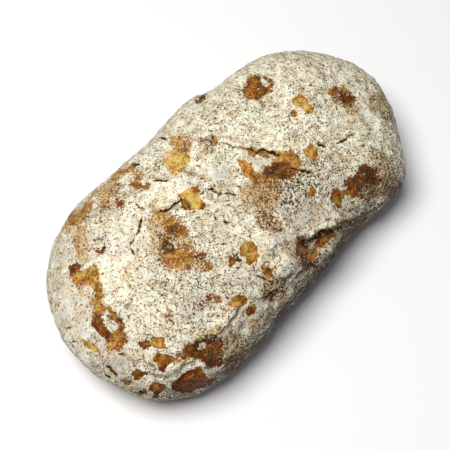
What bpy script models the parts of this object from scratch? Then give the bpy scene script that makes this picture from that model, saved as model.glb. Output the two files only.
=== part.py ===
"""Sourdough loaf: a rustic hearth loaf, proved in a long basket, dusted with flour and baked on the oven floor.

The loaf is one solid. X runs along it, Y across it and +Z up from the flat foot that it was baked on, with the
origin under its middle. Its plain form comes first, a domed pillow with a waist. Swells, folds and tears of the
crust are then raised from it along its normals. It is shaped in millimetres and scaled to metres at the end.
"""

from collections import namedtuple
from math import atan2, cos, exp, pi, radians, sin

import bmesh
import bpy
from mathutils import Vector, noise
from mathutils.geometry import intersect_point_line

MILLIMETRE = 0.001

# Driving dimensions of the plain form, in millimetres.
BODY_LENGTH = 288  # of the outline's superellipse, before the ends swell
BODY_WIDTH = 164
HEIGHT = 86
BELLY_HEIGHT = 35  # the widest line, above the oven floor
FOOT_SHARE = 0.86  # the foot's size as a share of the belly's
OUTLINE_MIDDLE = Vector((-2.8, -2.0, 0))  # the superellipse's centre: the swells round it are uneven

# Outline seen from above: a superellipse, then swells and waists round it as (bearing, spread, share).
OUTLINE_POWER = 3.2
OUTLINE_SWELLS = {
    "front waist": (-53, 25, -0.092),
    "right front shoulder": (-36, 9, 0.089),
    "right end": (2, 16, 0.097),
    "right back hollow": (49, 9, -0.070),
    "back swell": (61, 21, 0.050),
    "back waist": (105, 19, -0.025),
    "left back shoulder": (136, 16, 0.037),
    "left end": (177, 12, 0.049),
    "left front shoulder": (-146, 28, 0.047),
    "front flat": (-101, 27, -0.041),
}
CROWN_POWER = 2.4  # of the crown's cross-section: 2 is an ellipse, more is squarer

# Swells and hollows of the crust: centre, how far they reach and how high they rise.
Swell = namedtuple("Swell", "centre reach rise")
SWELLS = {
    "left crown": Swell((-92, 4, 84), 44, 2.6),
    "right crown": Swell((82, 2, 84), 42, 2.4),
    "bridge": Swell((-12, -30, 86), 30, 1.4),
    "back bridge": Swell((0, 40, 83), 22, 1.2),
    "waist pocket": Swell((9, -71, 64), 11, -3.6),
    "waist knuckle": Swell((-16, -66, 72), 9, 2.0),
    "upper knuckle": Swell((-13, -51, 80), 8, 1.5),
    "outer knuckle": Swell((-29, -66, 73), 8, 1.3),
    "lower cheek": Swell((20, -76, 48), 15, 1.8),
    "front hollow": Swell((-62, -74, 66), 16, -1.6),
    "left front hollow": Swell((-104, -68, 64), 14, -1.8),
    "right front hollow": Swell((62, -62, 72), 18, -1.4),
    "back hollow": Swell((38, 66, 70), 16, -1.5),
}

# Unevenness of the whole crust, broad and then small.
Lumps = namedtuple("Lumps", "size height seed")
LUMPS = (Lumps(52, 2.6, Vector((40.3, 40.4, 25.8))), Lumps(19, 0.9, Vector((8.4, 1.3, 2.9))))

# Folds and tears. The crust left of a path, going along it, is lifted as a lip, and the crust right of it is
# torn down as a trench, each at most by its height and fading over its reach.
Fold = namedtuple("Fold", "lip lip_reach trench trench_reach path")
FOLDS = {
    "waist fold": Fold(2.6, 7, 4.6, 7, (
        (-2, -63, 74), (6, -65.5, 71.5), (12, -67, 69.5), (20, -67, 68.5), (29, -70, 63.5), (41, -72, 56.5))),
    "front crease": Fold(1.4, 6, 1.8, 6, (
        (-92, -65, 70), (-83, -68, 69), (-75, -68.5, 70), (-66, -67, 72), (-55, -66, 73), (-45, -70, 69.5),
        (-35, -73, 65), (-27, -75, 61))),
    "left roll": Fold(1.5, 5, 2.0, 5, (
        (-143, -39, 54), (-134, -49, 59), (-130, -56, 58), (-125, -61, 58), (-119, -63, 61), (-110, -66, 63),
        (-101, -71, 61))),
    "crown tear": Fold(2.0, 7, 2.2, 5, (
        (9, 32, 86), (15, 23, 87.5), (20, 14, 88.5), (23, 7, 88.5), (26, 0, 88.5), (31, -3, 88.5),
        (36, -9, 88))),
    "front tear": Fold(1.4, 6, 1.5, 4, (
        (29, -17, 88), (32, -21, 88), (36, -28, 87), (38, -34, 86), (43, -39, 84.5))),
    "middle tear": Fold(1.6, 6, 2.2, 5, (
        (-20, 22, 88), (-23, 13, 88.5), (-22, 8, 88.5), (-19.5, 5, 89), (-16, 1, 89), (-13, -5, 89),
        (-8, -14, 89))),
    "left flap": Fold(1.6, 6, 1.8, 5, (
        (-57, 24, 86), (-50, 17, 87), (-42, 16.5, 87.5), (-37, 16, 88), (-34, 12, 88), (-34, 4, 88))),
    "right gash": Fold(0.8, 4, 2.4, 2.6, ((71, -33, 82.5), (78, -35, 81), (87, -35, 79))),
    "back crack": Fold(1.0, 5, 1.4, 3, ((-20, 33, 86), (-18, 24, 87), (-15, 14, 88.5))),
    "left back crack": Fold(0.9, 4, 1.2, 3, ((-41, 44, 83.5), (-37, 38, 84.5), (-30, 31, 86))),
    "left crack": Fold(1.0, 4, 1.6, 3, (
        (-60, 31, 85), (-61, 24, 85.5), (-70, 21, 84.5), (-77, 18, 84), (-82, 15, 83.5), (-84, 7, 83.5))),
    "shoulder crack": Fold(0.9, 4, 1.4, 3, ((61, -17, 85), (62, -24, 85), (66, -32, 84))),
}
FOLD_TAPER = 9  # the length over which a fold rises from nothing at each end
STEP_WIDTH = 2  # of the slope from a lip down to its trench
FOOT_FADE = 16  # the relief grows from nothing at the foot to full at this height

# Mesh: cells along, across and up the box that the dough is shaped from, then finer ones along the folds.
BOX_CELLS = (42, 24, 12)
RIM_SHARE = 0.74  # of the outline's radius, where the box's top face ends
BELLY_LEVEL = 0.36  # where the belly lies on the box's sides, from the foot at 0 to the rim at 1
FINE_BANDS = (8, 4)  # a cell nearer to a fold than this is split, once for each band

CRUST_COLOUR = (0.71, 0.62, 0.44, 1)  # floured crust, with the bake showing through
CRUST_ROUGHNESS = 0.9


def smoothstep(share):
    """A smooth climb from 0 to 1."""
    share = min(max(share, 0.0), 1.0)
    return share * share * (3 - 2 * share)


def bump(gap, reach):
    """A bell that is 1 at its middle and fades over its reach."""
    return exp(-((gap / reach) ** 2))


def outline_radius(bearing):
    """Distance from the middle to the belly line, at this bearing from +X."""
    along = (abs(cos(bearing)) * 2 / BODY_LENGTH) ** OUTLINE_POWER
    across = (abs(sin(bearing)) * 2 / BODY_WIDTH) ** OUTLINE_POWER
    swell = 1.0
    for centre, spread, share in OUTLINE_SWELLS.values():
        turn = (bearing - radians(centre) + pi) % (2 * pi) - pi
        swell += share * bump(turn, radians(spread))
    return swell * (along + across) ** (-1 / OUTLINE_POWER)


def crown_height(share):
    """Height over the belly line at this share of the outline's radius."""
    return (HEIGHT - BELLY_HEIGHT) * (1 - min(share, 1.0) ** CROWN_POWER) ** (1 / CROWN_POWER)


def profile(point):
    """(share of the outline's radius, height) for a point of the box, whose corners are at -1 and 1."""
    ring = max(abs(point.x), abs(point.y))
    if point.z > 1 - 1e-6:
        share = RIM_SHARE * ring
        return share, BELLY_HEIGHT + crown_height(share)
    if point.z < -1 + 1e-6:
        return FOOT_SHARE * ring, 0.0
    level = (1 + point.z) / 2
    if level >= BELLY_LEVEL:
        rise = (level - BELLY_LEVEL) / (1 - BELLY_LEVEL)
        share = 1 - (1 - RIM_SHARE) * (1 - cos(rise * pi / 2))
        return share, BELLY_HEIGHT + crown_height(share)
    fall = (1 - level / BELLY_LEVEL) * pi / 2
    return FOOT_SHARE + (1 - FOOT_SHARE) * cos(fall), BELLY_HEIGHT * (1 - sin(fall))


def plain(point):
    """Where a point of the box lies on the plain loaf. The box's square rings become rings of the outline."""
    share, height = profile(point)
    ring = max(abs(point.x), abs(point.y))
    if ring < 1e-9:
        return OUTLINE_MIDDLE + Vector((0, 0, height))
    if abs(point.x) >= abs(point.y):
        turn = pi / 4 * point.y / point.x + (pi if point.x < 0 else 0)
    else:
        turn = pi / 2 - pi / 4 * point.x / point.y + (pi if point.y < 0 else 0)
    bearing = atan2(BODY_WIDTH * sin(turn), BODY_LENGTH * cos(turn))
    radius = share * outline_radius(bearing)
    return OUTLINE_MIDDLE + Vector((radius * cos(bearing), radius * sin(bearing), height))


def nearest_on(path, place):
    """(offset of the place from a path, the path's direction there, length run to there, length left)."""
    nearest = None
    run = 0.0
    for start, end in zip(path, path[1:]):
        start = Vector(start)
        along = Vector(end) - start
        share = intersect_point_line(place, start, start + along)[1]
        share = min(max(share, 0.0), 1.0)
        offset = place - start - along * share
        if nearest is None or offset.length < nearest[0].length:
            nearest = (offset, along.normalized(), run + share * along.length)
        run += along.length
    return nearest + (run - nearest[2],)


def fold_relief(fold, place, normal):
    """Rise of a fold's lip, or depth of its trench, at a place on the crust."""
    offset, direction, run, left_over = nearest_on(fold.path, place)
    side = 1 if direction.cross(offset).dot(normal) > 0 else -1
    lip_share = smoothstep(0.5 + side * offset.length / STEP_WIDTH)
    lip = fold.lip * bump(offset.length, fold.lip_reach)
    trench = fold.trench * bump(offset.length, fold.trench_reach)
    taper = smoothstep(run / FOLD_TAPER) * smoothstep(left_over / FOLD_TAPER)
    return taper * (lip_share * lip - (1 - lip_share) * trench)


def relief(place, normal):
    """How far the crust stands out of the plain loaf, or in if negative."""
    rise = sum(fold_relief(fold, place, normal) for fold in FOLDS.values())
    for swell in SWELLS.values():
        rise += swell.rise * bump((place - Vector(swell.centre)).length, swell.reach)
    for lumps in LUMPS:
        rise += lumps.height * noise.noise(place / lumps.size + lumps.seed)
    return rise * smoothstep(place.z / FOOT_FADE)


def cut_into_cells(dough):
    """Cuts the box into its cells along X, Y and Z, and into finer ones along the folds."""
    for axis, cells in enumerate(BOX_CELLS):
        across = Vector((0, 0, 0))
        across[axis] = 1
        for cut in range(1, cells):
            everything = dough.verts[:] + dough.edges[:] + dough.faces[:]
            place = across * (2 * cut / cells - 1)
            bmesh.ops.bisect_plane(dough, geom=everything, plane_co=place, plane_no=across)
    for band in FINE_BANDS:
        gaps = {}
        for vertex in dough.verts:
            place = plain(vertex.co)
            gaps[vertex] = min(nearest_on(fold.path, place)[0].length for fold in FOLDS.values())
        near = [edge for edge in dough.edges if min(gaps[vertex] for vertex in edge.verts) < band]
        bmesh.ops.subdivide_edges(dough, edges=near, cuts=1, use_grid_fill=True)


def crust_material():
    material = bpy.data.materials.new("floured crust")
    material.use_nodes = True
    shader = material.node_tree.nodes["Principled BSDF"]
    shader.inputs["Base Color"].default_value = CRUST_COLOUR
    shader.inputs["Roughness"].default_value = CRUST_ROUGHNESS
    shader.inputs["Metallic"].default_value = 0.0
    material.diffuse_color = CRUST_COLOUR
    return material


def make_loaf():
    """The loaf as one closed mesh, standing on its foot with the origin under its middle."""
    dough = bmesh.new()
    bmesh.ops.create_cube(dough, size=2)
    cut_into_cells(dough)
    for vertex in dough.verts:
        vertex.co = plain(vertex.co)
    dough.normal_update()
    rises = [relief(vertex.co, vertex.normal) for vertex in dough.verts]
    for vertex, rise in zip(dough.verts, rises):
        vertex.co += vertex.normal * rise

    corners = [[pick(vertex.co[axis] for vertex in dough.verts) for axis in (0, 1)] for pick in (min, max)]
    middle = (Vector(corners[0]) + Vector(corners[1])) / 2
    bmesh.ops.translate(dough, vec=-middle.to_3d(), verts=dough.verts)
    bmesh.ops.scale(dough, vec=(MILLIMETRE,) * 3, verts=dough.verts)
    mesh = bpy.data.meshes.new("loaf")
    dough.to_mesh(mesh)
    dough.free()
    mesh.shade_smooth()
    mesh.materials.append(crust_material())
    return bpy.data.objects.new("loaf", mesh)


for old in list(bpy.data.objects):
    bpy.data.objects.remove(old)
collection = bpy.data.collections.new("sourdough loaf")
bpy.context.scene.collection.children.link(collection)
collection.objects.link(make_loaf())
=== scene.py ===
"""Dresses the sourdough loaf: its torn and browned crust, the flour on it, and a plain studio."""

import bmesh
import bpy
import numpy as np
from mathutils import Matrix, Vector, noise
from mathutils.bvhtree import BVHTree


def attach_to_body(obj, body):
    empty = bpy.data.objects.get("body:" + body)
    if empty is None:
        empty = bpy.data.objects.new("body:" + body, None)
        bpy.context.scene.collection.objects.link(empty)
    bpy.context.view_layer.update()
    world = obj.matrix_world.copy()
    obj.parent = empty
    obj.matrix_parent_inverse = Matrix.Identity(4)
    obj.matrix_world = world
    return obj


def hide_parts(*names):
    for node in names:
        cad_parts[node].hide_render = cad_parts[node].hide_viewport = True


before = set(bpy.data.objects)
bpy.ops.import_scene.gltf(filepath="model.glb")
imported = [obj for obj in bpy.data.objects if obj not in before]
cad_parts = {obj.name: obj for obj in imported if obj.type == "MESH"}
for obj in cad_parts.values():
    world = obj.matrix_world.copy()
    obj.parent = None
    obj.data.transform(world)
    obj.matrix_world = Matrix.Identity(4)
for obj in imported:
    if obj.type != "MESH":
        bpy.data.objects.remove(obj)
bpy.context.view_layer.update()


# The crust is one skin of baked dough. The loaf was proved in a floured basket and baked on the oven floor,
# so its skin is dusty white, split into lips and tears where the dough rose, and brown wherever the flour has
# come away.
MM = 0.001
SKIN_CELL = 1.43  # mm, of the even mesh before the tears and patch rims are made finer
TAUT_PASSES = 12  # of smoothing, which round the coarse facets off
RELAX_PASSES = 2  # of the same smoothing, once the skin has been made finer
RELAX_SHARES = (0.5, -0.52)  # of the way to the neighbours' middle, in and then out, so that nothing shrinks
FOOT_HEIGHT = 0.4  # mm, below which the skin belongs to the flat foot
FOOT_FADE = 7  # mm over the oven floor, below which the relief dies away
LUMP_STRIDE = (7.31, 3.17, 5.53)  # from one seed's noise to the next one's
WANDER_STRIDE = (2.71, 9.13, 4.37)
WANDER_DRAW = 2  # the draw of noise that every run starts from, so that each comes out the same

dough = bpy.data.objects.new("dough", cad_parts["loaf"].data.copy())
bpy.context.scene.collection.objects.link(dough)
even_skin = dough.modifiers.new("even skin", "REMESH")
even_skin.mode = "VOXEL"
even_skin.voxel_size = SKIN_CELL * MM
proved = bpy.data.meshes.new_from_object(dough.evaluated_get(bpy.context.evaluated_depsgraph_get()))
bpy.data.objects.remove(dough)
proved.transform(Matrix.Scale(1 / MM, 4))


def read_points(mesh, field="co"):
    """Vertex positions, or another vector field, as rows of an array."""
    values = np.empty(len(mesh.vertices) * 3)
    mesh.vertices.foreach_get(field, values)
    return values.reshape(-1, 3)


def relax(mesh, passes):
    """Even out the skin without shrinking it, and lay its foot flat again."""
    ends = np.empty(len(mesh.edges) * 2, dtype=int)
    mesh.edges.foreach_get("vertices", ends)
    ends = ends.reshape(-1, 2)
    here = np.concatenate((ends[:, 0], ends[:, 1]))
    there = np.concatenate((ends[:, 1], ends[:, 0]))
    points = read_points(mesh)
    foot = points[:, 2] < FOOT_HEIGHT
    neighbours = np.bincount(here, minlength=len(points))
    for _ in range(passes):
        for share in RELAX_SHARES:
            for axis in range(3):
                mean = np.bincount(here, points[there, axis], len(points)) / neighbours
                points[:, axis] += share * (mean - points[:, axis])
            points[foot, 2] = 0
    mesh.vertices.foreach_set("co", points.ravel())
    mesh.update()


def lumps(points, size, seed):
    """Smooth noise from about -1 to 1 at each point, in lumps of this size."""
    shift = Vector([seed * stride for stride in LUMP_STRIDE])
    return np.array([noise.noise(Vector(point) / size + shift) for point in points])


noise.seed_set(WANDER_DRAW)


def cloudy(points, middle, *layers):
    """The middle value, with a layer of lumps on it for each (strength, size, seed)."""
    for strength, size, seed in layers:
        middle = middle + strength * lumps(points, size, seed)
    return middle


def wander(points, *layers):
    """The points pushed aside by each (size, reach, seed), so that what is measured from them is ragged."""
    for size, reach, seed in layers:
        shift = Vector([seed * stride for stride in WANDER_STRIDE])
        pushes = [noise.noise_vector(Vector(point) / size + shift) for point in points]
        points = points + reach * np.array(pushes)
    return points


relax(proved, TAUT_PASSES)

# The foot, which is flat, needs few faces.
FOOT_THINNING = 0.9  # share of the foot's faces taken away
foot_points = [vertex.index for vertex in proved.vertices if vertex.co.z < FOOT_HEIGHT]
foot_faces = [face for face in proved.polygons if face.center.z < FOOT_HEIGHT]
foot = bpy.data.objects.new("foot", proved)
bpy.context.scene.collection.objects.link(foot)
foot.vertex_groups.new(name="foot").add(foot_points, 1.0, "REPLACE")
thinning = foot.modifiers.new("thinning", "DECIMATE")
thinning.ratio = 1 - FOOT_THINNING * len(foot_faces) / len(proved.polygons)
thinning.vertex_group = "foot"
thinned = bpy.data.meshes.new_from_object(foot.evaluated_get(bpy.context.evaluated_depsgraph_get()))
bpy.data.objects.remove(foot)
bpy.data.meshes.remove(proved)
proved = thinned
proved_tree = BVHTree.FromPolygons(
    [vertex.co for vertex in proved.vertices], [polygon.vertices for polygon in proved.polygons]
)

# Marks on the crust are given as (right, up) in millimetres on a board square to this line of sight, which
# leans over the loaf's front left, so that its flank counts as well as its crown.
SIGHT = Vector((-0.308, -0.289, 0.906)).normalized()
RIGHTWARD = Vector((0.685, -0.729, 0)).normalized()
UPWARD = SIGHT.cross(RIGHTWARD)
BOARD = np.array((RIGHTWARD, UPWARD)).T
BOARD_HEIGHT = 400  # mm from the middle of the loaf's foot


def on_crust(mark):
    """The point of the skin that lies under a mark on the board."""
    start = mark[0] * RIGHTWARD + mark[1] * UPWARD + BOARD_HEIGHT * SIGHT
    return np.array(proved_tree.ray_cast(start, -SIGHT)[0])


def ease(share):
    """The share, held between 0 and 1 and eased in and out."""
    share = np.clip(share, 0, 1)
    return share * share * (3 - 2 * share)


FAR_OFF = 25  # mm, from where the skin is another side of the loaf


def follow(path, points, normals):
    """Each point's offset from the path along the skin, its side of it and its run, and the path's length."""
    nearest = np.full(len(points), np.inf)
    offset = np.zeros_like(points)
    side = np.ones(len(points))
    run = np.zeros(len(points))
    length = 0.0
    for start, end in zip(path, path[1:]):
        stride = np.linalg.norm(end - start)
        heading = (end - start) / stride
        along = np.clip((points - start) @ heading, 0, stride)
        gap = points - start - along[:, None] * heading
        far = np.linalg.norm(gap, axis=1) > FAR_OFF
        gap -= np.where(far, 0, np.einsum("ij,ij->i", gap, normals))[:, None] * normals
        distance = np.linalg.norm(gap, axis=1)
        closer = distance < nearest
        nearest[closer] = distance[closer]
        offset[closer] = gap[closer]
        run[closer] = length + along[closer]
        turned = np.einsum("ij,ij->i", np.cross(heading, gap[closer]), normals[closer])
        side[closer] = np.where(turned > 0, 1, -1)
        length += stride
    return offset, side, run, length


# Tears: the crust on the left of each path lifts as a lip and the crust on its right sinks.
# (lip rise, sink depth, their reach, slot depth, slot half width, path of marks), in millimetres.
TEARS = {
    "waist fold": (1.5, 0.9, 5, 0.6, 0.6, (50, -8), (54, -4), (57, -2), (60, 0), (63, 2), (67, 3), (72, 3)),
    "waist crease": (1.2, 1.4, 5, 0.3, 0.8, (67, 3), (72, 4), (76, 6), (82, 7), (90, 9)),
    "front crease": (-0.5, -0.8, 3.5, 0.24, 0.7, (-12, -69), (-5, -67), (-1, -63), (3, -57), (6, -52),
        (11, -47), (16, -43), (21, -41), (28, -39), (36, -38)),
    "left roll": (0, 0.1, 5, 0.26, 0.8, (-59, -93), (-54, -93), (-49, -96), (-44, -98), (-40, -97),
        (-37, -92), (-33, -89), (-28, -86), (-21, -86)),
    "crown crack": (0.6, 0.7, 3, 1.2, 0.55, (-8, 62), (-4, 61), (1, 59), (6, 59), (10, 58), (13, 56)),
    "crown tear": (1.4, 1.3, 4, 1.7, 0.65, (9, 58), (13, 57), (17, 56), (21, 57), (26, 56), (31, 55),
        (36, 53)),
    "front tear": (0.9, 0.9, 4, 1.4, 0.7, (34, 45), (41, 44), (45, 43), (48, 42), (52, 41), (58, 41)),
    "middle tear": (1.0, 1.1, 4, 1.9, 0.8, (-18, 29), (-14, 29), (-10, 27), (-5, 25)),
    "middle tear start": (0.5, 0.6, 3, 1.5, 0.5, (-24, 27), (-21, 26), (-18, 28)),
    "middle tear end": (0.4, 0.4, 3, 1.5, 0.7, (-6, 26), (-2, 26), (4, 25)),
    "left flap": (1.1, 1.1, 4, 1.9, 0.8, (-52, 13), (-47, 14), (-43, 16), (-40, 19), (-37, 21), (-33, 22)),
    "flap side": (0.4, 0.8, 3, 1, 0.7, (-33, 22), (-31, 20), (-28, 15)),
    "back short crack": (0.5, 0.6, 3, 1.3, 0.6, (-66, 20), (-63, 17), (-59, 14)),
    "left crack": (0.6, 0.5, 3, 1.7, 0.7, (-66, -3), (-64, 0), (-63, 3), (-62, 7), (-60, 11)),
    "left crack low": (0.3, 0.4, 2, 1.3, 0.5, (-69, -11), (-68, -7), (-66, -4)),
    "left crack end": (0.5, 0.6, 3, 1.6, 0.8, (-69, -10), (-67, -12), (-64, -16)),
    "right gash": (0.7, 0.7, 3, 2.4, 1.0, (74, 62), (78, 64), (82, 66), (83, 69)),
    "gash tip": (0.3, 0.4, 2, 1.2, 0.5, (83, 68), (88, 69)),
    "shoulder crack": (0.3, 0.4, 2, 1.6, 0.5, (55, 68), (57, 67), (60, 64)),
    "shoulder crack end": (0.3, 0.4, 2, 1.3, 0.5, (59, 62), (63, 60), (67, 59)),
    "back crack": (0.5, 0.6, 3, 1.7, 0.7, (-52, 68), (-48, 66), (-44, 65)),
    "back thin crack": (0.3, 0.4, 2, 1.1, 0.5, (-34, 42), (-29, 40), (-25, 38)),
    "back dash": (0.3, 0.4, 2, 1.7, 0.5, (-22, 37), (-18, 37)),
    "left back crack": (0.4, 0.5, 3, 1.4, 0.6, (-55, 35), (-51, 36), (-48, 36), (-43, 36)),
    "bridge dash": (0.3, 0.4, 2, 1.4, 0.55, (-7, 7), (-4, 7), (-1, 4)),
    "bridge hair": (0.2, 0.3, 2, 0.8, 0.4, (2, 32), (9, 28)),
    "back nick": (0.5, 0.6, 2.5, 1.8, 0.8, (-27, 95), (-22, 96), (-18, 99)),
    "back pit": (0.4, 0.5, 2.5, 1.8, 0.9, (-22, 63), (-18, 65), (-15, 64), (-12, 60)),
    "end crack": (0.6, 0.5, 3, 1.8, 0.8, (-76, -97), (-80, -94), (-82, -92), (-86, -89)),
    "end crack tip": (0.4, 0.4, 2, 1.6, 0.7, (-81, -98), (-84, -98), (-87, -96)),
    "end red crack": (0.4, 0.4, 2, 1.5, 0.7, (-71, -103), (-73, -101), (-76, -99)),
    "end low crack": (0.4, 0.4, 2, 1.6, 0.8, (-60, -111), (-63, -108), (-67, -109)),
    "low side dash": (0.2, 0.3, 2, 1, 0.5, (-115, -67), (-109, -65)),
    "low side nick": (0.2, 0.3, 2, 1, 0.5, (-111, -76), (-104, -74)),
    "roll dash": (0.3, 0.4, 2, 1.5, 0.6, (-69, -83), (-75, -81)),
    "roll dash end": (0.3, 0.4, 2, 1.4, 0.55, (-63, -87), (-70, -85)),
    "knuckle crease": (0.9, 0.9, 4, 0.5, 0.9, (36, -7), (32, -10), (28, -14), (25, -19), (23, -23)),
    "knuckle line": (0.4, 0.5, 3, 1, 0.6, (14, -29), (19, -30), (24, -32), (28, -35)),
    "char crack": (0.5, 0.5, 3, 1.4, 0.8, (34, -40), (27, -42), (22, -46)),
}
TEAR_TAPER = 6  # mm over which a tear opens from its ends
SHORT_TAPER = 0.45  # share of its length, where a tear is too short for that
END_GAPE = 0.25  # how far into that taper a tear's ends already are
TEAR_REACH = 3  # times its own reach, past which a tear moves nothing
SLOT_DEPTH = 0.55  # share of the depths given above that is left open, for crumb has sprung up into the slots
SLOT_SIDES = (0.35, 0.9)  # share of its width under the lip, and on the sunken side
TORN_SLOT = 0.5  # mm of slot from where the crust has torn; in a shallower one it has only creased
STEP_WIDTH = 0.1  # mm, of the step between the two sides of a tear
SOFT_STEP = 2.4  # mm, of the same step in a crease
UNDERCUT = 0.6  # mm by which the lip of a deep tear hangs over it
UNDERCUT_SLOT = 1.3  # mm of slot from where a lip hangs over
UNDERCUT_REACH = 2
CRUMB_LINE = (0.55, 0.42)  # the torn line's share of its slot's width, and its least half width in mm
CRUMB_MARGIN = (1.3, 0.9)  # mm of torn crumb beside the line, and more by this share of its width
LINE_SHADE = 0.7  # how deeply a tear's line is shaded
MARGIN_SHADE = 0.3
LIP_DUSTING = 2.5  # mm, of the thicker flour along a lip
TEAR_PATHS = {name: [on_crust(mark) for mark in tear[5:]] for name, tear in TEARS.items()}

# Knuckles and hollows beside the tears: (mark, reach, rise), in millimetres.
KNUCKLES = {
    "waist knuckle": ((25, -6), 8, 2.2),
    "lower knuckle": ((39, -23), 8, 1.8),
    "outer knuckle": ((20, -35), 6, 1.2),
    "thumb": ((36, 4), 6, 1.2),
    "saddle hollow": ((48, 6), 9, -2.2),
    "knuckle hollow": ((32, -18), 4, -1.1),
    "white knuckle": ((25, -2), 4, 1.2),
    "low knuckle": ((43, -26), 6, 1.3),
    "thumb hollow": ((30, 5), 5, -0.9),
    "pocket": ((60, -10), 8, -1.2),
    "pocket roll": ((75, -4), 5, 1.2),
    "pocket roll low": ((69, -13), 5, 1.2),
    "pocket roll end": ((62, -22), 5, 1.0),
    "char hollow": ((29, -41), 5, -1.0),
    "cheek hollow": ((14, -38), 7, -0.9),
    "front hollow": ((0, -73), 9, -1),
    "roll swell": ((-54, -87), 9, 0.9),
    "right hollow": ((80, 52), 9, -1),
    "right swell": ((92, 65), 10, 0.9),
}

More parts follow.
